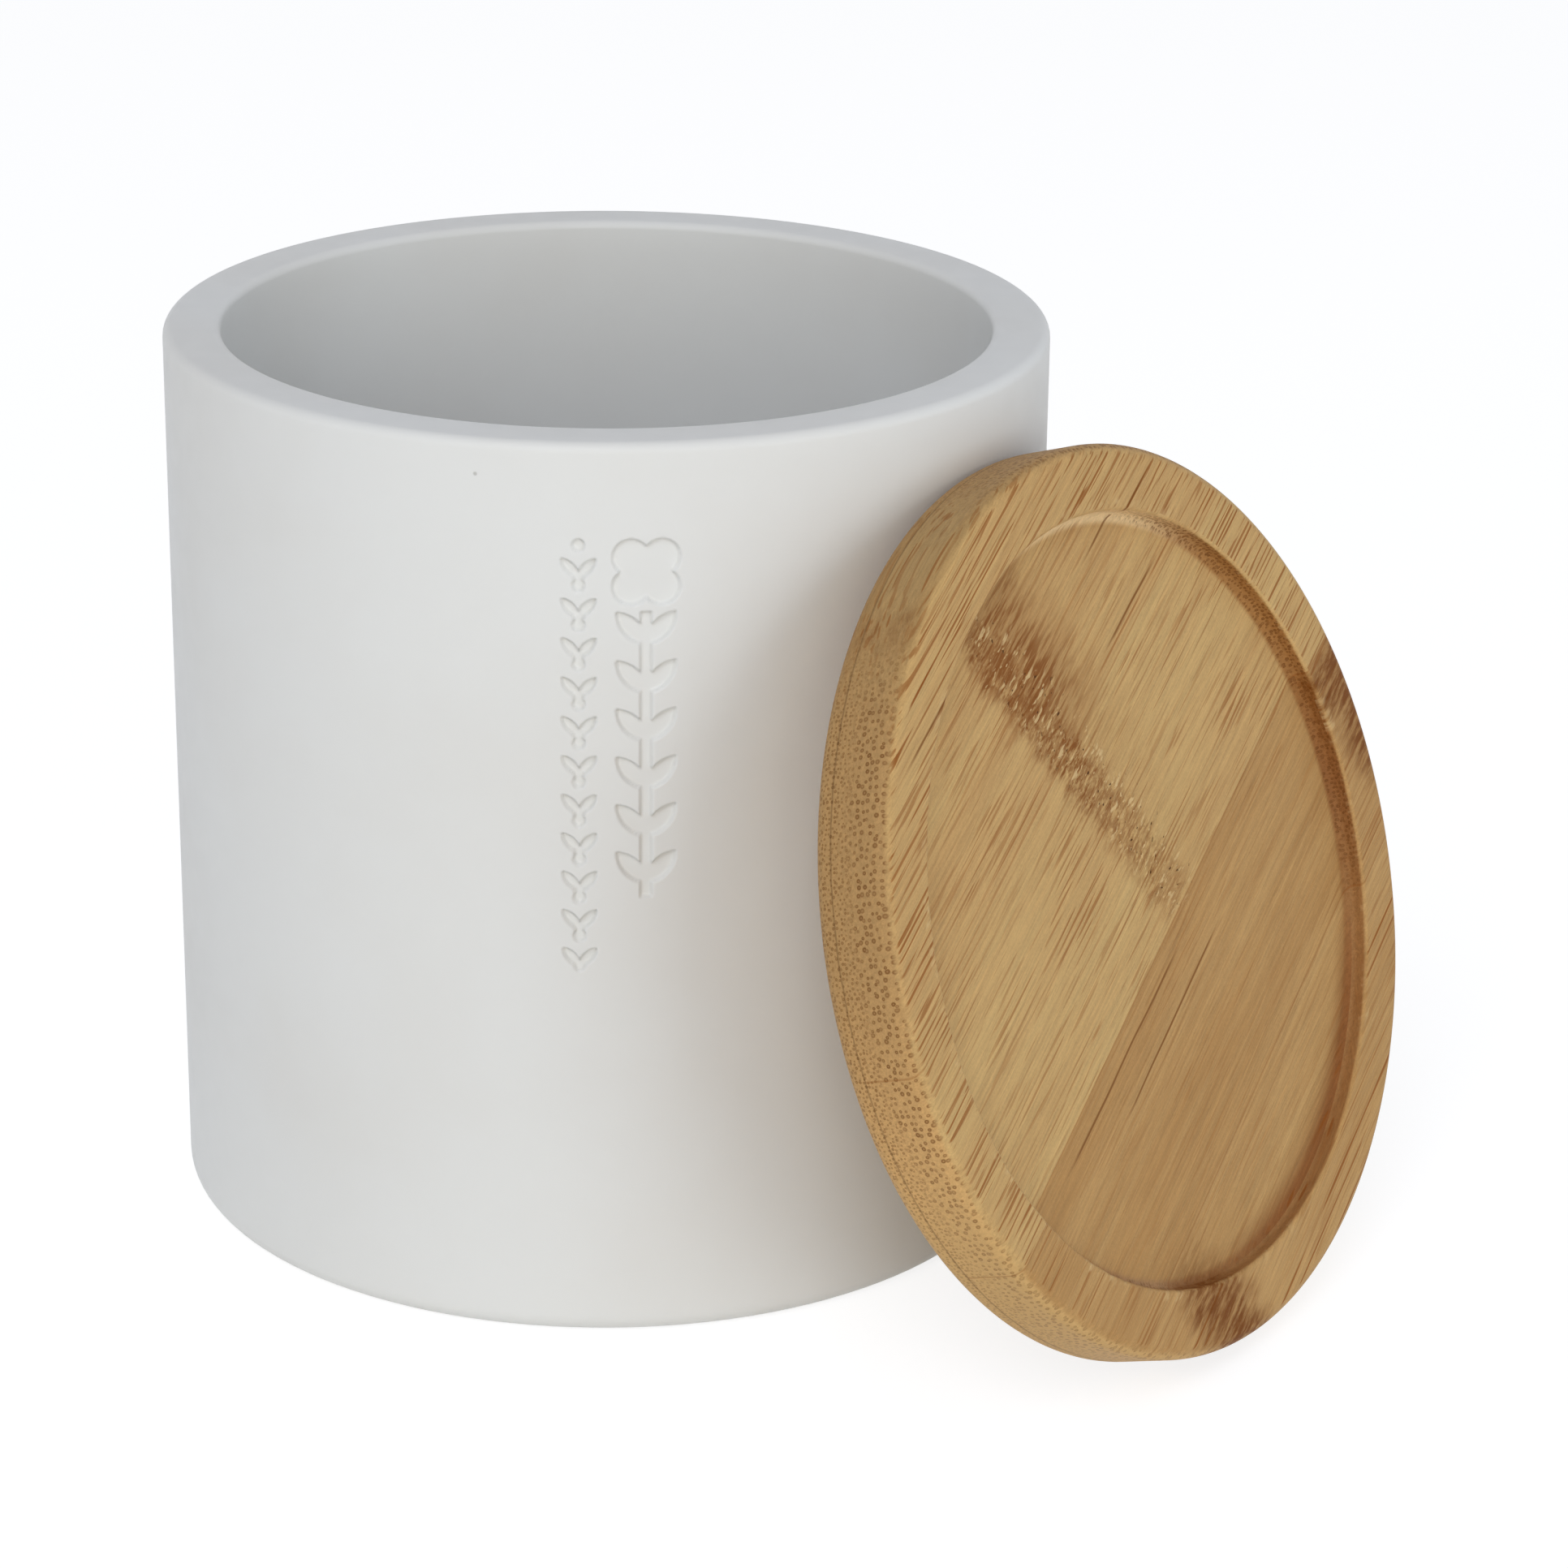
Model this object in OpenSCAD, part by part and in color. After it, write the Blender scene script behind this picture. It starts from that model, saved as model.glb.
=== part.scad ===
/* [Jar] */
// Outside diameter of the jar
jar_d = 100; // [80:1:140]
// Height of the jar from the table to its rim
jar_h = 103; // [80:1:150]
// Thickness of the jar's wall
wall_t = 6.5; // [5:0.5:10]
// Thickness of the jar's floor
floor_t = 7; // [5:0.5:14]
// Rounding of the rim's outer edge
rim_outer_r = 1.2; // [0.6:0.1:2.2]
// Rounding of the rim's inner edge
rim_inner_r = 1; // [0.5:0.1:2]
// Rounding of the outer edge at the foot
foot_r = 2.5; // [1:0.5:6]
// Rounding between the inner wall and the floor
well_r = 5; // [2:0.5:10]

/* [Pressed ornament] */
// Depth of the ornament in the wall
press_depth = 0.6; // [0.3:0.1:1.2]
// Distance from the rim down to the ornament's top
press_drop = 10.5; // [6:0.5:20]
// Height of the sprig
sprig_h = 40; // [24:1:50]
// Width of the sprig's stem
stem_w = 1; // [0.6:0.1:2]
// Length of a leaf on the sprig
leaf_l = 4.6; // [3:0.2:6]
// Width of a leaf on the sprig
leaf_w = 1.8; // [1:0.1:2.6]
// Angle between a leaf and the stem, in degrees
leaf_angle = 42; // [25:1:60]
// Distance between two pairs of leaves
leaf_pitch = 5.4; // [4:0.2:8]
// Radius of each lobe of the boll on top of the sprig
lobe_r = 1.9; // [1:0.05:2.4]
// Place of the sprig round the jar, in degrees from the front
sprig_turn = 4.6; // [3:0.2:9]
// Height of the row of buds beside the sprig
buds_h = 48; // [24:1:60]
// Distance between two buds
bud_pitch = 4.4; // [3.6:0.2:6]
// Length of a bud's leaf
bud_l = 2.6; // [1.4:0.1:3]
// Width of a bud's leaf
bud_w = 0.9; // [0.5:0.05:1.3]
// Radius of the bead between two buds
bead_r = 0.55; // [0.3:0.05:0.9]
// Place of the row of buds round the jar, in degrees from the front
buds_turn = -3.6; // [-9:0.2:-3]

/* [Lid] */
// How far the lid's edge stands out past the jar's outside
lid_overhang = 0; // [-1:0.25:3]
// Thickness of the lid's disc
lid_t = 9.6; // [8:0.2:15]
// Rounding of the disc's edge on the dished side
lid_upper_r = 1.6; // [0.8:0.1:2.6]
// Rounding of the disc's edge on the plug's side
lid_lower_r = 2; // [0.8:0.1:3]
// Width of the flat rim round the dish
lid_rim_w = 7.5; // [5:0.5:14]
// Depth of the dish
dish_depth = 2.4; // [1.6:0.1:4]
// Rounding between the dish's wall and its floor
dish_cove_r = 1.2; // [0.5:0.1:1.5]
// Rounding of the dish's upper edge
dish_edge_r = 0.5; // [0.2:0.1:0.8]
// Height of the plug that sits in the jar's mouth
plug_h = 2; // [1.5:0.25:6]
// Clearance between the plug and the mouth, all round
plug_clearance = 0.5; // [0.3:0.1:1.5]
// Rounding of the plug's edge
plug_edge_r = 0.6; // [0.3:0.1:1]

/* [Lid leaning on the jar] */
// How far the lid leans back from upright, in degrees
lean_angle = 18.5; // [10:0.5:35]
// Where round the jar the lid leans, in degrees from +X
lean_azimuth = -36.4; // [-80:0.2:20]
// Gap left where the lid meets the jar
lean_gap = 0.2; // [0.1:0.05:0.5]

/* [Hidden] */
$fn = 96;
// Past an edge or a face, so that a cut goes right through it
past = 1;

jar_r = jar_d / 2;
mouth_r = jar_r - wall_t;
lid_r = jar_r + lid_overhang;
dish_r = lid_r - lid_rim_w;
plug_r = mouth_r - plug_clearance;
press_top = jar_h - press_drop;
// Share of its radius that a lobe's centre lies from the boll's middle, sideways and up
lobe_share = 0.85;
lobe_spread = lobe_share * lobe_r;
boll_h = 2 * (lobe_spread + lobe_r);

// Roundings at the lid's upper back: distance behind the dished face, distance up the face, radius
lean_rounds = [
    [lid_t - lid_lower_r, lid_r - lid_lower_r, lid_lower_r],
    [lid_t + plug_h - plug_edge_r, plug_r - plug_edge_r, plug_edge_r]
];
// The lid stands on its lower back edge, which is at z = 0
lid_rise = (lid_t - lid_lower_r) * sin(lean_angle) + (lid_r - lid_lower_r) * cos(lean_angle) + lid_lower_r;
// Slopes tried for a line that parts the lid from the jar, in degrees
parting_slopes = [0 : 0.5 : 45];
// The lid comes to rest, on the wall or on the rim, where the easiest of those lines lets it
lid_reach = min([for (a = parting_slopes) parting_reach(a), parting_reach(lean_angle)]);

// How far the jar's outline, in a plane through its axis, reaches along a direction a above level
function jar_support(a) = (jar_r - rim_outer_r) * cos(a) + (jar_h - rim_outer_r) * sin(a) + rim_outer_r;
// How far the back of the lid reaches the other way, from the middle of its dished face
function lid_support(a) = max([for (p = lean_rounds) p[2] + p[0] * cos(lean_angle - a)
    + p[1] * sin(lean_angle - a)]);
// How far out the lid stands when a line with its normal at a above level just fits between them
function parting_reach(a) = (lean_gap + jar_support(a) + lid_support(a) - lid_rise * sin(a)) / cos(a);

// What a rounding takes off the corner at (x, y), where the corner points towards (side, up)
module corner_bit(x, y, r, side, up) {
    translate([x - side * r, y - up * r]) difference() {
        translate([side > 0 ? 0 : -r - past, up > 0 ? 0 : -r - past]) square(r + past);
        circle(r);
    }
}

// Half section of a turned block between two heights, with its outer corners rounded
module turned_block(r, low, high, low_r, high_r) {
    difference() {
        translate([0, low]) square([r, high - low]);
        corner_bit(r, low, low_r, 1, -1);
        if (high_r > 0) corner_bit(r, high, high_r, 1, 1);
    }
}

module jar_section() {
    difference() {
        turned_block(jar_r, 0, jar_h, foot_r, rim_outer_r);
        turned_block(mouth_r, floor_t, jar_h + past, well_r, 0);
        corner_bit(mouth_r, jar_h, rim_inner_r, -1, 1);
    }
}

// A pointed leaf that starts at the origin and points along +Y
module leaf(l, w) {
    arc_r = (l * l + w * w) / (4 * w);
    intersection() {
        translate([arc_r - w / 2, l / 2]) circle(arc_r);
        translate([w / 2 - arc_r, l / 2]) circle(arc_r);
    }
}

module leaf_pair(l, w, angle) {
    for (side = [-1, 1]) rotate(side * angle) leaf(l, w);
}

// Cotton sprig with its top at the origin: a four-lobed boll on a stem with pairs of leaves
module sprig() {
    translate([0, -boll_h / 2]) {
        for (x = [-1, 1], y = [-1, 1]) translate([x, y] * lobe_spread) circle(lobe_r);
        circle(lobe_r / 2);
    }
    translate([-stem_w / 2, -sprig_h]) square([stem_w, sprig_h - boll_h - stem_w]);
    leaf_top = boll_h + stem_w + leaf_l * cos(leaf_angle);
    for (y = [leaf_top : leaf_pitch : sprig_h]) translate([0, -y]) leaf_pair(leaf_l, leaf_w, leaf_angle);
}

// Row of small buds, each two leaves on a round foot with a bead over them, its top at the origin
module bud_row() {
    for (y = [bead_r : bud_pitch : buds_h - bud_pitch / 2]) translate([0, -y]) {
        circle(bead_r);
        translate([0, -bud_pitch / 2 - bud_l / 2]) {
            leaf_pair(bud_l, bud_w, leaf_angle);
            circle(bud_w / 2);
        }
    }
}

// A flat figure stood upright at the front of the wall and turned round the jar's axis
module on_wall(turn) {
    rotate([0, 0, turn]) translate([0, -jar_r + wall_t / 2, press_top]) rotate([90, 0, 0])
        linear_extrude(wall_t / 2 + past) children();
}

// The ornament's floor follows the wall at the same depth all over
module pressed_ornament() {
    tall = max(sprig_h, buds_h) + 2 * past;
    intersection() {
        translate([0, 0, press_top + past - tall]) difference() {
            cylinder(r = jar_r + past, h = tall);
            translate([0, 0, -past]) cylinder(r = jar_r - press_depth, h = tall + 2 * past);
        }
        union() {
            on_wall(sprig_turn) sprig();
            on_wall(buds_turn) bud_row();
        }
    }
}

module jar() {
    color([0.86, 0.86, 0.84]) difference() {
        rotate_extrude() jar_section();
        pressed_ornament();
    }
}

// Dished face up at z = 0, plug below
module lid_section() {
    difference() {
        union() {
            turned_block(lid_r, -lid_t, 0, lid_lower_r, lid_upper_r);
            turned_block(plug_r, -lid_t - plug_h, -lid_t / 2, plug_edge_r, 0);
        }
        turned_block(dish_r, -dish_depth, past, dish_cove_r, 0);
        corner_bit(dish_r, 0, dish_edge_r, -1, 1);
    }
}

module lid() {
    color([0.70, 0.56, 0.38])
        rotate([0, 0, lean_azimuth]) translate([lid_reach, 0, lid_rise]) rotate([0, 90 - lean_angle, 0])
            rotate_extrude() lid_section();
}

jar();
lid();
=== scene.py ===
import math
import bpy
from mathutils import Euler, Matrix, Vector


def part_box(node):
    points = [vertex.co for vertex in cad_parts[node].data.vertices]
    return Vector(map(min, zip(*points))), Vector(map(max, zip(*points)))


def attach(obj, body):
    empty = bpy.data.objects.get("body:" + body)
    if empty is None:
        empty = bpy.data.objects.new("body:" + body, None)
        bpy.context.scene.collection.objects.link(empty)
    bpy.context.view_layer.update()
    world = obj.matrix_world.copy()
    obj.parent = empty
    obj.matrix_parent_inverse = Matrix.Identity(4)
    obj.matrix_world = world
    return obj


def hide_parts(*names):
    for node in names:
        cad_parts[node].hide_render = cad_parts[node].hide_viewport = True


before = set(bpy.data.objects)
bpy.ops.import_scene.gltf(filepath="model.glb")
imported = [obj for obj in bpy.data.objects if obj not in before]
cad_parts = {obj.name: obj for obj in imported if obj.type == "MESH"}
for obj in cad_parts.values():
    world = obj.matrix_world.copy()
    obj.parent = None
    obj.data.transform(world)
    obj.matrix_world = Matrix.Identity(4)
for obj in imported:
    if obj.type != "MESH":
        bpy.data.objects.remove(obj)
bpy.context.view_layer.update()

scene = bpy.context.scene
scene.view_settings.view_transform = "Standard"
mm = 0.001


# Node helpers. A Wire is a node's output that takes part in sums, so a tree reads like a formula.
class Wire:
    def __init__(self, tree, socket):
        self.tree = tree
        self.socket = socket

    def calc(self, operation, *others):
        return out(addNode(self.tree, "ShaderNodeMath", [self, *others], operation=operation))

    def __add__(self, other):
        return self.calc("ADD", other)

    def __sub__(self, other):
        return self.calc("SUBTRACT", other)

    def __mul__(self, other):
        return self.calc("MULTIPLY", other)

    def __truediv__(self, other):
        return self.calc("DIVIDE", other)

    def __neg__(self):
        return self.calc("MULTIPLY", -1)

    __radd__ = __add__
    __rmul__ = __mul__

    def __rsub__(self, other):
        return -self + other

    def ease(self, start, end, low=0.0, high=1.0, interpolation="SMOOTHSTEP"):  # start may lie above end
        inputs = [self, start, end, low, high]
        return out(addNode(self.tree, "ShaderNodeMapRange", inputs, interpolation_type=interpolation))

    def line(self, start, end, low=0.0, high=1.0):
        return self.ease(start, end, low, high, "LINEAR")


def feed(tree, socket, value):
    if isinstance(value, Wire):
        tree.links.new(value.socket, socket)
    else:
        socket.default_value = value


def addNode(tree, kind, inputs=(), **settings):
    made = tree.nodes.new(kind)
    for name, value in settings.items():
        setattr(made, name, value)
    pairs = inputs.items() if isinstance(inputs, dict) else enumerate(inputs)
    for key, value in pairs:
        feed(tree, made.inputs[key], value)
    return made


def out(made, key=0):
    return Wire(made.id_data, made.outputs[key])


def xyz(tree, x, y, z):
    return out(addNode(tree, "ShaderNodeCombineXYZ", [x, y, z]))


def parts(vector):
    split = addNode(vector.tree, "ShaderNodeSeparateXYZ", [vector])
    return [out(split, key) for key in range(3)]


def noise(vector, scale, detail=2.0, roughness=0.5):
    inputs = {"Vector": vector, "Scale": scale, "Detail": detail, "Roughness": roughness}
    return out(addNode(vector.tree, "ShaderNodeTexNoise", inputs))


def stretched(vector, along, across, deep):
    factors = (along, across, deep)
    return out(addNode(vector.tree, "ShaderNodeVectorMath", [vector, factors], operation="MULTIPLY"))


# Geometry Nodes helpers
def newTree(name, sizes):
    tree = bpy.data.node_groups.new(name, "GeometryNodeTree")
    tree.interface.new_socket("Geometry", in_out="OUTPUT", socket_type="NodeSocketGeometry")
    for label, value in sizes.items():
        kind = {int: "Int", bpy.types.Material: "Material"}.get(type(value), "Float")
        tree.interface.new_socket(label, in_out="INPUT", socket_type="NodeSocket" + kind)
    entry = tree.nodes.new("NodeGroupInput")
    return tree, {label: Wire(tree, entry.outputs[label]) for label in sizes}


def pick(tree, index, values, kind):  # one value for each index
    made = addNode(tree, "GeometryNodeIndexSwitch", data_type=kind)
    while len(made.inputs) < len(values) + 2:
        made.index_switch_items.new()
    for key, value in enumerate([index, *values]):
        feed(tree, made.inputs[key], value)
    return out(made)


def moved(shape, x=0.0, y=0.0):
    made = addNode(shape.tree, "GeometryNodeTransform", {"Geometry": shape})
    feed(shape.tree, made.inputs["Translation"], xyz(shape.tree, x, y, 0))
    return out(made)


def joined(*shapes):
    tree = shapes[0].tree
    made = tree.nodes.new("GeometryNodeJoinGeometry")
    for shape in shapes:
        tree.links.new(shape.socket, made.inputs[0])
    return out(made)


def repeated(shape, count, firstY, stepY):  # copies down a line
    tree = shape.tree
    row = addNode(tree, "GeometryNodeMeshLine", {"Count": count})
    feed(tree, row.inputs["Start Location"], xyz(tree, 0, firstY, 0))
    feed(tree, row.inputs["Offset"], xyz(tree, 0, stepY, 0))
    return out(addNode(tree, "GeometryNodeInstanceOnPoints", {"Points": out(row), "Instance": shape}))


def section(tree, corners, roundings, stepAt, arcPoints):  # rounded half section in short steps
    index = out(addNode(tree, "GeometryNodeInputIndex"))
    row = out(addNode(tree, "GeometryNodeMeshLine", {"Count": len(corners)}))
    places = pick(tree, index, [xyz(tree, x, 0, z) for x, z in corners], "VECTOR")
    bent = out(addNode(tree, "GeometryNodeSetPosition", {"Geometry": row, "Position": places}))
    curve = out(addNode(tree, "GeometryNodeMeshToCurve", {"Mesh": bent}))
    radii = pick(tree, index, roundings, "FLOAT")
    inputs = {"Curve": curve, "Count": arcPoints, "Radius": radii, "Limit Radius": True}
    curve = out(addNode(tree, "GeometryNodeFilletCurve", inputs, mode="POLY"))
    here = out(addNode(tree, "GeometryNodeInputPosition"))
    inputs = {"Value": here, "Index": index + 1}
    there = out(addNode(tree, "GeometryNodeFieldAtIndex", inputs, data_type="FLOAT_VECTOR"))
    span = out(addNode(tree, "ShaderNodeVectorMath", [here, there], operation="DISTANCE"), "Value")
    both = out(addNode(tree, "ShaderNodeVectorMath", [here, there], operation="ADD"))
    middle = parts(stretched(both, 0.5, 0.5, 0.5))
    cuts = (span / stepAt(middle[0], middle[2])).calc("FLOOR")
    return out(addNode(tree, "GeometryNodeSubdivideCurve", {"Curve": curve, "Cuts": cuts}))


def turned(tree, profile, columns, angleAt, shapeAt):  # the section swept round the Z axis
    size = addNode(tree, "GeometryNodeAttributeDomainSize", [profile], component="CURVE")
    rows = out(size, "Point Count")
    grid = out(addNode(tree, "GeometryNodeMeshGrid", {"Vertices X": columns + 1, "Vertices Y": rows}))
    index = out(addNode(tree, "GeometryNodeInputIndex"))
    column = (index / rows + 0.00001).calc("FLOOR")
    sample = addNode(tree, "GeometryNodeSampleIndex", data_type="FLOAT_VECTOR")
    feed(tree, sample.inputs["Geometry"], profile)
    feed(tree, sample.inputs["Value"], out(addNode(tree, "GeometryNodeInputPosition")))
    feed(tree, sample.inputs["Index"], index - column * rows)
    point = parts(out(sample))
    angle = angleAt(column)
    radius, height = shapeAt(angle, point[0], point[2])
    place = xyz(tree, radius * angle.calc("SINE"), -(radius * angle.calc("COSINE")), height)
    mesh = out(addNode(tree, "GeometryNodeSetPosition", {"Geometry": grid, "Position": place}))
    return out(addNode(tree, "GeometryNodeMergeByDistance", {"Geometry": mesh, "Distance": 0.002 * mm}))


def finishTree(mesh, material):
    tree = mesh.tree
    mesh = out(addNode(tree, "GeometryNodeSetShadeSmooth", {"Geometry": mesh}))
    mesh = out(addNode(tree, "GeometryNodeRealizeInstances", [mesh]))
    mesh = out(addNode(tree, "GeometryNodeSetMaterial", {"Geometry": mesh, "Material": material}))
    feed(tree, tree.nodes.new("NodeGroupOutput").inputs[0], mesh)


def madeBy(tree, name, values):  # runs the tree once and keeps its result as a plain mesh
    piece = bpy.data.objects.new(name, bpy.data.meshes.new(name + "Seed"))
    scene.collection.objects.link(piece)
    modifier = piece.modifiers.new(name, "NODES")
    modifier.node_group = tree
    for socket in tree.interface.items_tree:
        if socket.in_out == "INPUT":
            modifier[socket.identifier] = values[socket.name]
    bpy.context.view_layer.update()
    ready = piece.evaluated_get(bpy.context.evaluated_depsgraph_get())
    mesh = bpy.data.meshes.new_from_object(ready)
    piece.modifiers.clear()
    piece.data = mesh
    mesh.name = name
    print(name, "has", sum(len(face.vertices) - 2 for face in mesh.polygons), "triangles")
    return piece


# Material helpers
def paint(code):  # a colour as it shows on screen, to the renderer's own scale
    shown = [int(code[i:i + 2], 16) / 255 for i in (0, 2, 4)]
    return [c / 12.92 if c <= 0.04045 else ((c + 0.055) / 1.055) ** 2.4 for c in shown] + [1]


def blend(factor, a, b):
    made = addNode(factor.tree, "ShaderNodeMix", data_type="RGBA")
    for key, value in ((0, factor), (6, a), (7, b)):
        feed(factor.tree, made.inputs[key], value)
    return out(made, 2)


def over(value, limit):
    return value.calc("GREATER_THAN", limit)


def cells(vector):
    return addNode(vector.tree, "ShaderNodeTexVoronoi", {"Vector": vector, "Scale": 1.0})


def newMaterial(name):
    material = bpy.data.materials.new(name)
    material.use_nodes = True
    return material, material.node_tree, material.node_tree.nodes["Principled BSDF"]


# Camera
cameraView = {
    "lens": 111.11,                      # mm, on a sensor 36 mm wide
    "place": (0.0, -0.5306, 0.2476),     # m
    "down": 20.75,                       # degrees
    "right": 2.22,
    "roll": 0.68,
}


def makeCamera():
    lens = bpy.data.cameras.new("camera")
    lens.lens = cameraView["lens"]
    lens.sensor_fit = "HORIZONTAL"
    lens.clip_start = 0.01
    camera = bpy.data.objects.new("camera", lens)
    scene.collection.objects.link(camera)
    aim = Euler((math.radians(90 - cameraView["down"]), 0, -math.radians(cameraView["right"]))).to_matrix()
    aim = aim.to_4x4() @ Matrix.Rotation(math.radians(cameraView["roll"]), 4, "Z")
    camera.matrix_world = Matrix.Translation(cameraView["place"]) @ aim
    scene.camera = camera


makeCamera()
print("camera set")

# Floor, world and lamps
studio = {
    "floorSize": 8.0,                    # m
    "floorDrop": 0.05 * mm,              # how far the floor lies under the pieces
    "floorColour": "fbfbfa",
    "floorGlow": 0.80,                   # what the camera sees of the floor's own white
    "floorShade": 0.36,                  # and of the light and shadow on it
    "worldColour": "ecf0fa",
    "worldStrength": 0.42,
    "lamps": [                           # name, degrees left, height, distance, side (m), share, colour
        ("topPanel", 14, 1.2, 1.3, 0.8, 0.58, "f5f8ff"),
        ("rightPanel", -40, 0.25, 1.6, 0.8, 0.20, "f2f9ff"),
        ("frontPanel", 4, 0.15, 1.6, 0.9, 0.17, "ffedbb"),
        ("leftEdge", 82, 0.30, 1.6, 0.8, 0.09, "f2f9ff"),
        ("rightEdge", -82, 0.30, 1.6, 0.8, 0.11, "f2f9ff"),
    ],
}


def seenRays(tree):  # camera, glossy and transmission rays see the white background
    path = addNode(tree, "ShaderNodeLightPath")
    rays = [out(path, "Is " + kind + " Ray") for kind in ("Camera", "Glossy", "Transmission")]
    return rays[0].calc("MAXIMUM", rays[1]).calc("MAXIMUM", rays[2])


def makeWorld():
    world = bpy.data.worlds.new("studio")
    scene.world = world
    world.use_nodes = True
    tree = world.node_tree
    tree.nodes.clear()
    fill = addNode(tree, "ShaderNodeBackground", [paint(studio["worldColour"]), studio["worldStrength"]])
    white = addNode(tree, "ShaderNodeBackground", [(1, 1, 1, 1), 1.0])
    mix = addNode(tree, "ShaderNodeMixShader", [seenRays(tree), out(fill), out(white)])
    addNode(tree, "ShaderNodeOutputWorld", [out(mix)])


def makeFloor():
    half = studio["floorSize"] / 2
    mesh = bpy.data.meshes.new("floor")
    corners = [(half * x, half * y, -studio["floorDrop"]) for x, y in ((-1, -1), (1, -1), (1, 1), (-1, 1))]
    mesh.from_pydata(corners, [], [(0, 1, 2, 3)])
    floor = bpy.data.objects.new("floor", mesh)
    scene.collection.objects.link(floor)
    material, tree, shader = newMaterial("paleFloor")
    tree.nodes.remove(shader)
    pale = addNode(tree, "ShaderNodeBsdfDiffuse", [paint(studio["floorColour"])])
    glow = addNode(tree, "ShaderNodeEmission", [(1, 1, 1, 1), studio["floorGlow"]])
    shade = studio["floorShade"]
    faint = addNode(tree, "ShaderNodeBsdfDiffuse", [(shade, shade, shade, 1)])
    both = addNode(tree, "ShaderNodeAddShader", [out(glow), out(faint)])
    mix = addNode(tree, "ShaderNodeMixShader", [seenRays(tree), out(pale), out(both)])
    feed(tree, tree.nodes["Material Output"].inputs[0], out(mix))
    mesh.materials.append(material)


def makeLamps():
    for name, left, height, distance, side, share, colour in studio["lamps"]:
        lamp = bpy.data.lights.new(name, "AREA")
        lamp.shape = "SQUARE"
        lamp.size = side
        lamp.energy = share * math.pi ** 2 * distance ** 2   # 1 lights a facing surface as it is painted
        lamp.color = paint(colour)[:3]
        holder = bpy.data.objects.new(name, lamp)
        scene.collection.objects.link(holder)
        turn = math.radians(left)
        place = Vector((-math.sin(turn) * distance, -math.cos(turn) * distance, height))
        aim = (Vector((0, 0, 0.05)) - place).to_track_quat("-Z", "Y")
        holder.matrix_world = Matrix.Translation(place) @ aim.to_matrix().to_4x4()


makeWorld()
makeFloor()
makeLamps()
print("floor and lamps set")

# The jar
jarLow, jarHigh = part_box("jar")
jarSizes = {
    "radius": max(-jarLow.x, jarHigh.x, -jarLow.y, jarHigh.y),
    "height": jarHigh.z,
    "wall": 6.5 * mm,
    "floor": 7.0 * mm,
    "rimOuter": 1.2 * mm,
    "rimInner": 1.0 * mm,
    "foot": 2.5 * mm,
    "well": 5.0 * mm,
    "pressDepth": 0.6 * mm,
    "pressSoft": 0.20 * mm,              # width of the soft slope round each pressed shape
    "pressTop": jarHigh.z - 10.5 * mm,
    "sprigHeight": 40 * mm,
    "stemWidth": 1.0 * mm,
    "leafLength": 4.6 * mm,
    "leafWidth": 1.8 * mm,
    "leafTurn": math.radians(42),
    "leafPitch": 5.4 * mm,
    "leafPairs": 6,
    "lobe": 1.9 * mm,
    "lobeSpread": 0.85 * 1.9 * mm,
    "sprigTurn": math.radians(4.6),
    "budPitch": 4.4 * mm,
    "buds": 11,
    "budLength": 2.6 * mm,
    "budWidth": 0.9 * mm,
    "bead": 0.55 * mm,
    "budsTurn": math.radians(-3.6),
    "bandHeight": 52 * mm,               # the stretch of wall that holds the pressed shapes
    "windowLeft": 6.6 * mm,
    "windowRight": 9.0 * mm,
    "fineStep": 0.175 * mm,
    "plainStep": 2.4 * mm,
    "plainColumns": 120,
    "waviness": 0.05 * mm,
}


def leafFace(tree, length, width):  # pointed leaf between two arcs, its tip at the origin
    strip = out(addNode(tree, "GeometryNodeMeshGrid", {"Vertices X": 2, "Vertices Y": 13}))
    place = parts(out(addNode(tree, "GeometryNodeInputPosition")))
    up = (place[1] + 0.5) * length
    arc = (length * length + width * width) / (width * 4)
    off = up - length / 2
    half = (arc * arc - off * off).calc("SQRT") - arc + width / 2
    outline = xyz(tree, place[0] * 2 * half, up, 0)
    return out(addNode(tree, "GeometryNodeSetPosition", {"Geometry": strip, "Position": outline}))


def discFace(tree, radius):
    inputs = {"Vertices": 48, "Radius": radius}
    return out(addNode(tree, "GeometryNodeMeshCircle", inputs, fill_type="NGON"))


def pairOf(leaf, turn):
    tree = leaf.tree
    sides = []
    for side in (-1, 1):
        made = addNode(tree, "GeometryNodeTransform", {"Geometry": leaf})
        feed(tree, made.inputs["Rotation"], xyz(tree, 0, 0, turn * side))
        sides.append(out(made))
    return joined(*sides)


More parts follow.
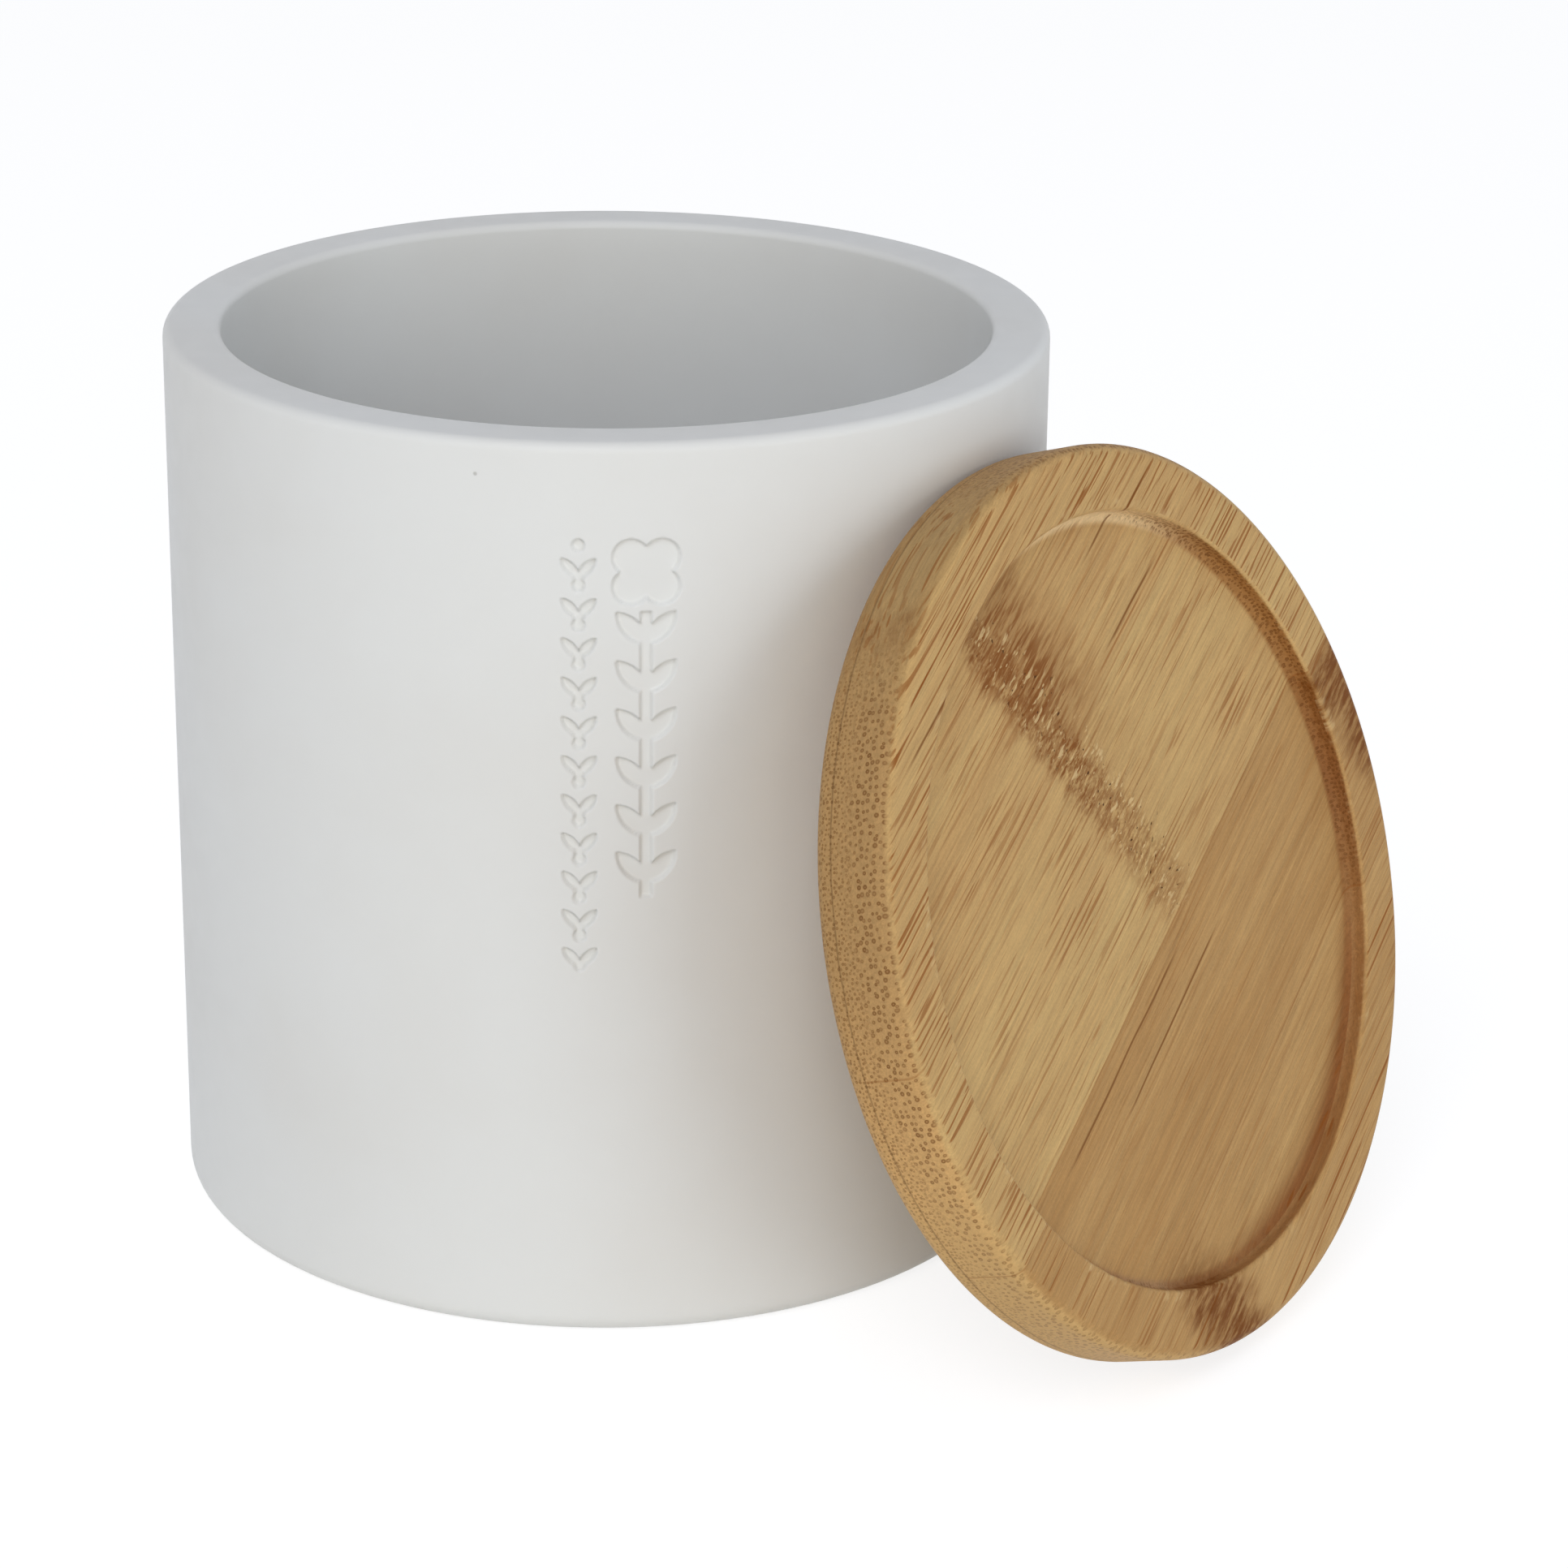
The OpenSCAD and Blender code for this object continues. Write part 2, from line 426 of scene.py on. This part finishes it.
def pressedShapes(tree, size):  # flat faces, X round the wall and Y up it
    disc = discFace(tree, size["lobe"])
    lobes = [moved(disc, size["lobeSpread"] * x, size["lobeSpread"] * y) for x in (-1, 1) for y in (-1, 1)]
    boll = (size["lobe"] + size["lobeSpread"]) * 2
    heart = moved(joined(*lobes, discFace(tree, size["lobe"] / 2)), 0, -(boll / 2))
    stemLength = size["sprigHeight"] - boll - size["stemWidth"]
    stem = addNode(tree, "GeometryNodeMeshGrid", {"Size X": size["stemWidth"], "Size Y": stemLength})
    stem = moved(out(stem), 0, stemLength / 2 - size["sprigHeight"])
    leaves = pairOf(leafFace(tree, size["leafLength"], size["leafWidth"]), size["leafTurn"])
    firstLeaf = boll + size["stemWidth"] + size["leafLength"] * size["leafTurn"].calc("COSINE")
    leaves = repeated(leaves, size["leafPairs"], -firstLeaf, -size["leafPitch"])
    sprig = moved(joined(heart, stem, leaves), size["sprigTurn"] * size["radius"], size["pressTop"])
    bud = pairOf(leafFace(tree, size["budLength"], size["budWidth"]), size["leafTurn"])
    foot = discFace(tree, size["budWidth"] / 2)
    bud = moved(joined(bud, foot), 0, -(size["budPitch"] + size["budLength"]) / 2)
    bud = joined(bud, discFace(tree, size["bead"]))
    row = repeated(bud, size["buds"], -size["bead"], -size["budPitch"])
    row = moved(row, size["budsTurn"] * size["radius"], size["pressTop"])
    return out(addNode(tree, "GeometryNodeRealizeInstances", [joined(sprig, row)]))


def jarTree(material):
    tree, size = newTree("castJar", {**jarSizes, "material": material})
    shapes = pressedShapes(tree, size)
    radius = size["radius"]
    inner = radius - size["wall"]
    bandTop = size["pressTop"] + 1.5 * mm
    bandLow = bandTop - size["bandHeight"]
    corners = [(0, 0), (radius, 0), (radius, bandLow), (radius, bandTop), (radius, size["height"]),
               (inner, size["height"]), (inner, size["floor"]), (0, size["floor"])]
    roundings = [0, size["foot"], 0, 0, size["rimOuter"], size["rimInner"], size["well"], 0]

    def stepAt(x, z):  # short steps only where the wall is pressed
        inBand = x.calc("GREATER_THAN", inner + size["wall"] / 2)
        inBand = inBand * z.calc("GREATER_THAN", bandLow) * z.calc("LESS_THAN", bandTop)
        return size["plainStep"] + (size["fineStep"] - size["plainStep"]) * inBand

    window = size["windowLeft"] + size["windowRight"]
    fineColumns = (window / size["fineStep"]).calc("CEIL")
    plainWidth = (2 * math.pi - window / radius) / size["plainColumns"]

    def angleAt(column):
        fine = column.calc("MINIMUM", fineColumns) * (window / radius / fineColumns)
        return (column - fineColumns).calc("MAXIMUM", 0) * plainWidth + fine - size["windowLeft"] / radius

    def shapeAt(angle, r, z):
        near = addNode(tree, "GeometryNodeProximity", {"Geometry": shapes}, target_element="FACES")
        feed(tree, near.inputs["Sample Position"], xyz(tree, angle * radius, z, 0))
        onWall = r.calc("GREATER_THAN", radius - 0.01 * mm)
        press = out(near, "Distance").ease(0.0, size["pressSoft"], 1.0, 0.0) * size["pressDepth"] * onWall
        spot = xyz(tree, r * angle.calc("SINE"), r * angle.calc("COSINE"), z)
        wave = (noise(spot, 22.0, 1.0) - 0.5) * size["waviness"] * r.line(0, inner)
        return r - press + wave, z

    profile = section(tree, corners, roundings, stepAt, arcPoints=10)
    mesh = turned(tree, profile, fineColumns + size["plainColumns"], angleAt, shapeAt)
    finishTree(mesh, size["material"])
    return tree


castLook = {
    "colour": "e4e4e1",
    "warmPatch": "e1e0dc",
    "pinholeShade": "a9a6a0",
    "roughness": 0.52,
    "pit": (-13.8 * mm, -48.0 * mm, 99.2 * mm),
    "pitRadius": 0.3 * mm,
}


def castMaterial():
    material, tree, shader = newMaterial("castStone")
    place = out(addNode(tree, "ShaderNodeTexCoord"), "Object")
    cloud = noise(place, 30.0, 3.0).ease(0.35, 0.7)
    colour = blend(cloud, paint(castLook["colour"]), paint(castLook["warmPatch"]))
    grain = noise(place, 2600.0, 2.0)
    pores = cells(stretched(place, 90, 90, 90))
    rare = over(parts(out(pores, "Color"))[0], 0.93)
    hole = out(pores, "Distance").ease(0.03, 0.012) * rare
    away = addNode(tree, "ShaderNodeVectorMath", [place, castLook["pit"]], operation="DISTANCE")
    pit = out(away, "Value").ease(castLook["pitRadius"], castLook["pitRadius"] * 0.4)
    hole = hole.calc("MAXIMUM", pit)
    # painted shade in the pinholes and the pit
    colour = blend(hole * 0.6, colour, paint(castLook["pinholeShade"]))
    rough = castLook["roughness"]
    shader.inputs["Specular IOR Level"].default_value = 0.4
    feed(tree, shader.inputs["Base Color"], colour)
    feed(tree, shader.inputs["Roughness"], noise(place, 400.0).line(0.3, 0.7, rough - 0.06, rough + 0.06))
    height = grain * 0.02 + noise(place, 500.0, 3.0) * 0.05 - hole * 0.3
    bump = addNode(tree, "ShaderNodeBump", {"Strength": 0.25, "Distance": mm, "Height": height})
    feed(tree, shader.inputs["Normal"], out(bump))
    return material


castStone = castMaterial()
jar = madeBy(jarTree(castStone), "castJar", {**jarSizes, "material": castStone})
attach(jar, "root")
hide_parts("jar")
print("jar made")

# The lid
lidSizes = {
    "radius": 50.0 * mm,
    "thickness": 9.6 * mm,
    "upperEdge": 1.6 * mm,
    "lowerEdge": 2.0 * mm,
    "dishRadius": 42.5 * mm,
    "dishDepth": 2.4 * mm,
    "dishCove": 1.2 * mm,
    "dishEdge": 0.5 * mm,
    "plugRadius": 43.0 * mm,
    "plugHeight": 2.0 * mm,
    "plugEdge": 0.6 * mm,
    "columns": 600,
    "step": 0.8 * mm,
    "dishStep": 0.62 * mm,
    "backStep": 2.5 * mm,
    "splinter": 0.13 * mm,               # how far the torn fibres stray at the dish's edge
    "ridgeRelief": 0.16 * mm,
}
lidLean = math.radians(18.5)
lidAzimuth = math.radians(-36.4)
fibreTurn = math.radians(27.3)           # the fibres rise to the right across the face

# The bamboo, in mm: along the fibres, across them, and deep (0 at the face, negative below it)
bambooLook = {
    "tan": "c29b65",
    "paleTan": "ccaa71",
    "deepTan": "b18753",                 # the darker strips
    "endGrain": "c79d66",
    "wallGrainAndShade": "9f6e3b",               # where the dish was cut across the fibres, darkened partly by painted shade
    # darker brown of the lower dish wall and the cove: partly the wood's own colour, partly painted shade
    "wallBrownAndShade": "86522a",
    "wallPaintedLight": "e6c796",                # painted light on the part of the dish's wall that the rim shades
    "streak": "8a4b12",
    "ring": "6e421b",
    "longLine": "754312",
    "nodeStain": "865327",
    "rimStain": "74400f",
    "fleck": "dcbd88",
    "pit": "48290f",
    "frontDots": (0.80, 0.26),           # pitch and radius of the cut bundles near the face
    "backDots": (0.52, 0.17),
    "wallDots": (0.52, 0.20),
    "bundlePitch": 0.70,
    "bundleRadius": 0.16,
    "driftLength": 22.0,
    "plyDepth": 6.9,                     # the glue line between the two plies
    "strips": (-29.0, -5.6, 20.0),       # glued edges of the strips, across the fibres
    "stripTones": (0.30, 0.20, 0.85, 0.66),
    "backTone": 0.3,
    "roughness": 0.50,
    "sheen": 0.08,
    "fineRelief": 0.07,                  # mm
    "hairRelief": 0.04,
    "ridge": (5.0, -0.12),               # a culm node's ridge in the dish: its place and its slope
    "ridgeSpan": (-5.6, 43.0),
    "rimNodes": [                        # along, half width, across from and to, strength
        (46.5, 7.5, -24.0, -5.6, 1.0),
        (-27.5, 8.0, -48.0, -29.0, 1.0),
        (-11.0, 5.0, 48.6, 53.0, 0.7),
    ],
    "longLines": [                       # along from and to, across
        (15.0, 34.0, 21.8),
        (-22.0, 10.0, -12.4),
        (-24.0, -4.0, 41.0),
        (-34.0, 2.0, -8.1),
        (20.0, 38.0, 31.0),
    ],
}


# Noise in the bamboo: turns per mm along, across and deep, then detail and roughness
bambooNoise = {
    "cloud": (0.022, 0.14, 0.14, 3.0, 0.5),
    "band": (0.012, 0.9, 0.9, 2.0, 0.5),
    "fine": (0.05, 2.6, 2.6, 3.0, 0.65),
    "hair": (0.3, 7.0, 7.0, 2.0, 0.6),
    "speck": (4.0, 4.0, 4.0, 3.0, 0.6),
    "patchy": (0.05, 0.22, 0.22, 2.0, 0.5),
    "thin": (0.085, 2.3, 1.3, 1.0, 0.5),
    "mottle": (0.6, 1.7, 1.7, 4.0, 0.7),
    "drawn": (0.22, 2.2, 2.2, 2.0, 0.6),
    "ragged": (0.20, 1.2, 1.2, 4.0, 0.7),
    "drift": (0.13, 0.5, 0.5, 3.0, 0.65),
}


def grain(place, name):
    along, across, deep, detail, roughness = bambooNoise[name]
    return noise(stretched(place, along, across, deep), 1.0, detail, roughness)


def fibreSpot(along, across, stretchAlong, stretchAcross, layer=0.0):
    return xyz(along.tree, along * stretchAlong, across * stretchAcross, layer)


def tornRidge(along, across):  # the culm node in the dish; the same for the shape and for its colours
    start, slope = bambooLook["ridge"]
    low, high = bambooLook["ridgeSpan"]
    drift = (noise(fibreSpot(along, across, 0.10, 0.45), 1.0, 3.0, 0.65) - 0.5) * 7
    past = along - (across - low) * slope - start + drift
    span = across.ease(low - 2, low + 3) * across.ease(high, high - 4)
    band = past.ease(-5.0, -1.5) * past.ease(5.6, 1.5) * span
    near = past.ease(-3.2, -1.0) * past.ease(6.5, 3.5) * span
    longChips = noise(fibreSpot(along, across, 0.38, 1.5, 2.0), 1.0, 2.0, 0.5).ease(0.60, 0.67)
    shortChips = noise(fibreSpot(along, across, 0.9, 2.4, 9.0), 1.0, 1.0).ease(0.67, 0.73)
    chip = longChips.calc("MAXIMUM", shortChips) * near
    pit = noise(fibreSpot(along, across, 1.0, 1.9, 4.0), 1.0, 1.0).ease(0.69, 0.74) * near
    return past, span, band, chip, pit


def tornEdge(along, across):  # fibres torn where the cutter left them
    tuft = noise(fibreSpot(along, across, 0.3, 1.2), 1.0, 2.0, 0.6).ease(0.50, 0.66)
    endOn = (along / (along * along + across * across).calc("SQRT")).calc("ABSOLUTE")
    some = noise(fibreSpot(along, across, 0.12, 0.12, 3.0), 1.0, 1.0).ease(0.40, 0.60, 0.15, 1.0)
    return tuft * some * endOn.ease(0.05, 0.6)


def lidTree(material):
    tree, size = newTree("turnedLid", {**lidSizes, "material": material})
    back = -size["thickness"] - size["plugHeight"]
    corners = [(0, back), (size["plugRadius"], back), (size["plugRadius"], -size["thickness"]),
               (size["radius"], -size["thickness"]), (size["radius"], 0),
               (size["dishRadius"], 0), (size["dishRadius"], -size["dishDepth"]), (0, -size["dishDepth"])]
    roundings = [0, size["plugEdge"], 0, size["lowerEdge"],
                 size["upperEdge"], size["dishEdge"], size["dishCove"], 0]

    def stepAt(x, z):
        inDish = x.calc("LESS_THAN", size["dishRadius"]) * over(z, -size["thickness"] / 2)
        atBack = x.calc("LESS_THAN", size["plugRadius"]) * z.calc("LESS_THAN", -size["thickness"])
        step = size["step"] + (size["dishStep"] - size["step"]) * inDish
        return step + (size["backStep"] - size["step"]) * atBack

    def angleAt(column):
        return column * (2 * math.pi) / size["columns"]

    def shapeAt(angle, r, z):
        along = r * (angle - fibreTurn).calc("SINE") / mm
        across = -(r * (angle - fibreTurn).calc("COSINE")) / mm
        band, chip, pit = tornRidge(along, across)[2:]
        rough = noise(fibreSpot(along, across, 0.5, 1.6), 1.0, 2.0) - 0.5
        relief = (chip * 0.7 - pit * 1.4 + band * rough * 1.6) * size["ridgeRelief"]
        inDish = over(z, -size["dishDepth"] - 0.1 * mm) * z.calc("LESS_THAN", -size["dishDepth"] + 0.1 * mm)
        atEdge = (r - size["dishRadius"]).calc("ABSOLUTE").ease(0.8 * mm, 0.25 * mm)
        atEdge = atEdge * z.ease(-1.5 * mm, -0.5 * mm)
        tear = (tornEdge(along, across) - 0.2) * size["splinter"] * atEdge
        return r + tear, z + relief * inDish

    profile = section(tree, corners, roundings, stepAt, arcPoints=9)
    mesh = turned(tree, profile, size["columns"], angleAt, shapeAt)
    made = addNode(tree, "GeometryNodeTransform", {"Geometry": mesh})
    made.inputs["Rotation"].default_value = lidFrame().to_euler()
    finishTree(out(made), size["material"])
    return tree


def lidFrame():  # turns Z to the direction that the dished face looks, and X to the right along it
    right = Vector((-math.sin(lidAzimuth), math.cos(lidAzimuth), 0))
    level = Vector((math.cos(lidAzimuth), math.sin(lidAzimuth), 0))
    face = level * math.cos(lidLean) + Vector((0, 0, math.sin(lidLean)))
    return Matrix((right, face.cross(right), face)).transposed()


def boxOf(mesh):
    corners = [vertex.co for vertex in mesh.vertices]
    low = Vector([min(c[i] for c in corners) for i in range(3)])
    high = Vector([max(c[i] for c in corners) for i in range(3)])
    return low, high


def bundles(along, across, deep, backPly, cutEdge):  # fibre bundles that drift a little on their way
    look = bambooLook
    pitch = look["bundlePitch"] * (1 - backPly * 0.35)
    y = across / pitch
    z = deep / pitch
    inputs = {"Vector": xyz(along.tree, y, z, 0), "Scale": 1.0, "Randomness": 0.8}
    cell = addNode(along.tree, "ShaderNodeTexVoronoi", inputs, voronoi_dimensions="2D")
    middle = parts(out(cell, "Position"))
    fate, chance, thickness = parts(out(cell, "Color"))
    travel = along / look["driftLength"]
    lift = noise(xyz(along.tree, travel, fate * 90, 0), 1.0, 1.0) - 0.5
    sway = noise(xyz(along.tree, travel, fate * 90, 7.0), 1.0, 1.0) - 0.5
    offY = (y - middle[0] + sway * 0.5) * pitch
    offZ = (z - middle[1] + lift * 1.5) * pitch
    radius = (thickness * 0.7 + 0.65) * (1 - backPly * 0.3) * (1 + cutEdge * 0.45) * look["bundleRadius"]
    reach = (offY * offY + offZ * offZ).calc("SQRT") / radius
    return reach.ease(1.0, 0.65), fate, chance


def cutDots(turn, around, deep, size):  # bundles cut across, as ringed dots set evenly along an edge
    pitch, radius = size
    spot = xyz(turn.tree, turn * (around / pitch), deep / pitch, 0)
    inputs = {"Vector": spot, "Scale": 1.0, "Randomness": 0.75}
    cell = addNode(turn.tree, "ShaderNodeTexVoronoi", inputs, voronoi_dimensions="2D")
    fate, chance = parts(out(cell, "Color"))[:2]
    reach = out(cell, "Distance") * pitch / ((fate * 0.6 + 0.7) * radius)
    ring = reach.ease(1.05, 0.6) - reach.ease(0.55, 0.1) * 0.5
    return ring * (chance * 0.35 + 0.65)


def stripTone(across, backPly):  # the strip's tone and its number, where the back ply is one strip
    look = bambooLook
    tones = look["stripTones"]
    tone = tones[0]
    strip = backPly * len(tones)
    for edge, before, after in zip(look["strips"], tones, tones[1:]):
        tone = over(across, edge) * (after - before) + tone
        strip = strip + over(across, edge)
    return tone * (1 - backPly) + backPly * look["backTone"], strip


def rimNodes(along, across, place):
    total = 0
    drift = (grain(place, "drift") - 0.5) * 9
    for at, half, low, high, strength in bambooLook["rimNodes"]:
        band = (along + drift - at).calc("ABSOLUTE").ease(half, half * 0.25)
        total = band * across.ease(low - 1, low + 2) * across.ease(high + 1, high - 2) * strength + total
    return total


def longLines(along, across):
    total = 0
    waver = (noise(fibreSpot(along, across, 0.06, 0.2, 5.0), 1.0, 1.0) - 0.5) * 0.9
    for start, end, at in bambooLook["longLines"]:
        line = (across + waver - at).calc("ABSOLUTE").ease(0.22, 0.05)
        total = line * along.ease(start, start + 5) * along.ease(end, end - 6) + total
    return total


def lidZones(along, across, deep):  # 1 on each part of the lid and 0 off it, with a few directions
    dish = lidSizes["dishRadius"] / mm
    edge = lidSizes["radius"] / mm
    floor = lidSizes["dishDepth"] / mm
    radius = (along * along + across * across).calc("SQRT")
    up = along * math.sin(fibreTurn) + across * math.cos(fibreTurn)
    right = along * math.cos(fibreTurn) - across * math.sin(fibreTurn)
    lowRight = (right * 0.57 - up * 0.82) / radius           # 1 at the lower right, -1 at the upper left
    aboveBack = over(deep, -floor - 0.6)
    inDish = over(-deep, floor - 0.5) * radius.calc("LESS_THAN", dish - 0.1) * aboveBack
    wall = radius.ease(dish + 0.8, dish + 0.2) * radius.ease(dish - 1.5, dish - 0.6)
    return {
        "up": up,
        "lowRight": lowRight,
        "facing": along.calc("ABSOLUTE") / radius,           # 1 where the fibres meet the edge end on
        "dish": inDish,
        # the cove at the dish's lower right, which takes painted shade
        "shadedCove": inDish * radius.ease(dish - 3.9, dish - 0.3) * lowRight.ease(0.72, 0.97),
        # painted light: the dish's floor beside its left wall, which the wall shades
        "dishLeftPaintedLight": inDish * radius.ease(dish - 5.0, dish - 0.3) * right.ease(-10, -30),
        "wall": wall * deep.ease(-0.15, -0.5) * aboveBack,
        "rim": over(deep, -0.9),
        "dishEdge": (radius - dish - 0.4).calc("ABSOLUTE").ease(1.1, 0.4) * over(deep, -0.7),
        "side": radius.ease(edge - 1.4, edge - 0.7) * deep.ease(-0.1, -0.6),
        "offBack": over(radius, edge - 3.0),
    }


def boardColour(own, zone, tone, cutEdge):  # tone of the strips and of the cut edges
    look = bambooLook
    tone = tone + (grain(own, "cloud") - 0.5) + (grain(own, "band") - 0.5) * 0.7
    colour = blend(tone.line(0.0, 0.55), paint(look["deepTan"]), paint(look["tan"]))
    colour = blend(tone.line(0.55, 1.2), colour, paint(look["paleTan"]))
    colour = blend(cutEdge * zone["side"], colour, paint(look["endGrain"]))
    wall = blend(zone["up"].ease(24, -4), paint(look["wallGrainAndShade"]), paint(look["wallBrownAndShade"]))
    # painted light: the dish's wall is paler except where it faces the fibres end on or lies at the lower
    # right
    outsidePaintedLight = zone["facing"].ease(0.72, 0.95) + zone["lowRight"].ease(0.3, 0.7)
    wall = blend(outsidePaintedLight, paint(look["wallPaintedLight"]), wall)
    colour = blend(zone["wall"] * (0.9 - zone["lowRight"].ease(0.5, 0.8) * 0.3), colour, wall)
    # painted shade and darker wood in the cove at the dish's lower right
    return blend(zone["shadedCove"] * 0.75, colour, paint(look["wallBrownAndShade"]))


def shaded(colour, amount):
    made = addNode(colour.tree, "ShaderNodeVectorMath", [colour], operation="SCALE")
    feed(colour.tree, made.inputs["Scale"], amount)
    return out(made)


def streaks(own, across, deep, backPly, zone, cutEdge):  # bundles where a face cuts them lengthways
    travel, shifted = parts(own)[:2]
    body, fate, chance = bundles(travel, shifted, deep, backPly, cutEdge)
    patchy = grain(own, "patchy") - 0.5
    lively = across.ease(-14, 0, 0.45, 1.0)                  # fewer in the strips at the lower right
    dense = deep.line(-9.6, 0.0, 0.26, 0.52) + patchy * 1.3 + zone["rim"] * 0.34
    shown = (dense * lively - chance).ease(-0.05, 0.15)
    strength = (0.45 + fate * 0.55) * (0.70 + zone["rim"] * 0.14)
    thin = grain(own, "thin").ease(0.56, 0.64)
    thin = thin * (0.36 + zone["rim"] * 0.26 + patchy * 1.4).line(0.0, 1.0) * lively
    return (body * shown * strength).calc("MAXIMUM", thin)


def ringedDots(along, across, deep, speck, zone):  # bundles where an edge cuts them across
    look = bambooLook
    outerRadius = lidSizes["radius"] / mm
    dishRadius = lidSizes["dishRadius"] / mm
    turn = along.calc("ARCTAN2", across)
    front = (deep + speck * 2).ease(-5.8, -3.6)
    near = cutDots(turn, outerRadius, deep, look["frontDots"]) * front
    far = cutDots(turn, outerRadius, deep, look["backDots"]) * (1 - front) * 0.85
    inner = cutDots(turn, dishRadius, deep, look["wallDots"]) * zone["facing"].ease(0.62, 0.86)
    return (near + far) * zone["side"] + inner * zone["wall"]


def withNodes(colour, along, across, place, zone):  # the torn ridge in the dish, stains on the rim
    look = bambooLook
    past, span, ridge, chip, pit = tornRidge(along, across)
    mottle = grain(place, "mottle")
    drawn = grain(place, "drawn")
    shade = past.ease(-3.0, 0.0) * past.ease(15.0, 5.0) * across.ease(12, 30, 0.12, 1.0) * span
    shade = shade * drawn.ease(0.38, 0.60, 0.40, 1.0)
    torn = ridge * (mottle.ease(0.36, 0.60, 0.10, 0.9) + drawn.ease(0.5, 0.62) * 0.4)
    stain = shade.calc("MAXIMUM", torn * across.ease(-4, 24, 0.5, 0.95)).calc("MINIMUM", 1.0)
    colour = blend(stain * zone["dish"], colour, paint(look["nodeStain"]))
    rimStain = rimNodes(along, across, place) * (1 - zone["dish"] * 0.4)
    ragged = grain(place, "ragged").ease(0.36, 0.60, 0.25, 0.95)
    colour = blend(rimStain * ragged, colour, paint(look["rimStain"]))
    colour = blend(chip * zone["dish"] * 0.75, colour, paint(look["fleck"]))
    colour = blend(pit * zone["dish"] * 0.9, colour, paint(look["pit"]))
    return colour, stain, rimStain


def withSeams(colour, across, deep, place, backPly, zone):  # glue between the strips and the plies
    look = bambooLook
    seam = sum([(across - at).calc("ABSOLUTE").ease(0.16, 0.05) for at in look["strips"]], 0)
    colour = blend(seam * (1 - backPly) * 0.35, colour, paint(look["streak"]))
    glue = deep + look["plyDepth"] + (noise(place, 0.35) - 0.5) * 0.2
    glue = glue.calc("ABSOLUTE").ease(0.16, 0.06) * zone["offBack"]
    return blend(glue * 0.38, colour, paint(look["pit"]))


def dressBamboo(material, centre):
    look = bambooLook
    tree = material.node_tree
    shader = tree.nodes["Principled BSDF"]
    turn = lidFrame() @ Matrix.Rotation(fibreTurn, 3, "Z")
    coords = addNode(tree, "ShaderNodeTexCoord")
    inputs = {"Vector": out(coords, "Object"), "Location": centre, "Rotation": turn.to_euler()}
    inputs["Scale"] = (mm, mm, mm)
    place = out(addNode(tree, "ShaderNodeMapping", inputs, vector_type="TEXTURE"))
    along, across, deep = parts(place)
    zone = lidZones(along, across, deep)
    backPly = over(-deep, look["plyDepth"])
    fibre = tuple(turn.col[0])
    endOn = addNode(tree, "ShaderNodeVectorMath", [out(coords, "Normal"), fibre], operation="DOT_PRODUCT")
    cut = out(endOn, "Value").calc("ABSOLUTE").ease(0.10, 0.45)     # 1 where the fibres are cut across

    tone, strip = stripTone(across, backPly)
    own = xyz(tree, along + strip * 41.9, across + strip * 13.37, deep)     # each strip has its own pattern
    fine = grain(own, "fine") - 0.5
    hair = grain(own, "hair") - 0.5
    speck = grain(place, "speck") - 0.5
    cutEdge = zone["side"].calc("MAXIMUM", zone["wall"]) * cut
    colour = boardColour(own, zone, tone, cutEdge)
    # painted light and shade: the side paler towards the bottom, where light comes from below, and darker
    # towards the top; the dish's floor lifted beside its left wall
    paintedLightAndShade = 1 + (zone["up"].ease(14, -20, 0.78, 1.10) - 1) * zone["side"] + zone["dishLeftPaintedLight"] * 0.09
    colour = shaded(colour, (1 + fine * 0.58 + hair * 0.42 + speck * 0.32) * paintedLightAndShade)

    streak = streaks(own, across, deep, backPly, zone, cutEdge) * (1 - cut)
    colour = blend(streak, colour, paint(look["streak"]))
    below = zone["side"] * zone["up"].ease(-6, -30)          # painted light: the lid's low side is paler where light from below falls on it
    colour = blend(below * 0.5, colour, paint(look["paleTan"]))
    rings = ringedDots(along, across, deep, speck, zone) * cut
    colour = blend(rings * (1 - below * 0.4) * 0.85, colour, paint(look["ring"]))
    lines = longLines(along, across) * (zone["dish"] + zone["rim"])
    colour = blend(lines * 0.8, colour, paint(look["longLine"]))
    colour, stain, rimStain = withNodes(colour, along, across, place, zone)
    tuft = tornEdge(along, across) * zone["dishEdge"] * (1 - rimStain * 0.8)
    colour = blend(tuft * 0.55, colour, paint(look["fleck"]))
    colour = withSeams(colour, across, deep, place, backPly, zone)

    feed(tree, shader.inputs["Base Color"], colour)
    feed(tree, shader.inputs["Roughness"], look["roughness"] + fine * 0.15 + streak * 0.1 + stain * 0.12)
    shader.inputs["Specular IOR Level"].default_value = look["sheen"]
    height = fine * look["fineRelief"] + hair * look["hairRelief"]
    bump = addNode(tree, "ShaderNodeBump", {"Strength": 1.0, "Distance": mm, "Height": height})
    feed(tree, shader.inputs["Normal"], out(bump))


bamboo = newMaterial("bamboo")[0]
lid = madeBy(lidTree(bamboo), "bambooLid", {**lidSizes, "material": bamboo})
cadLow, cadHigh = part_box("lid")
meshLow, meshHigh = boxOf(lid.data)
lidCentre = (cadLow + cadHigh - meshLow - meshHigh) / 2
lid.data.transform(Matrix.Translation(lidCentre))
dressBamboo(bamboo, lidCentre)
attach(lid, "root")
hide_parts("lid")
print("lid made, its face centred at", [round(c / mm, 2) for c in lidCentre], "mm")
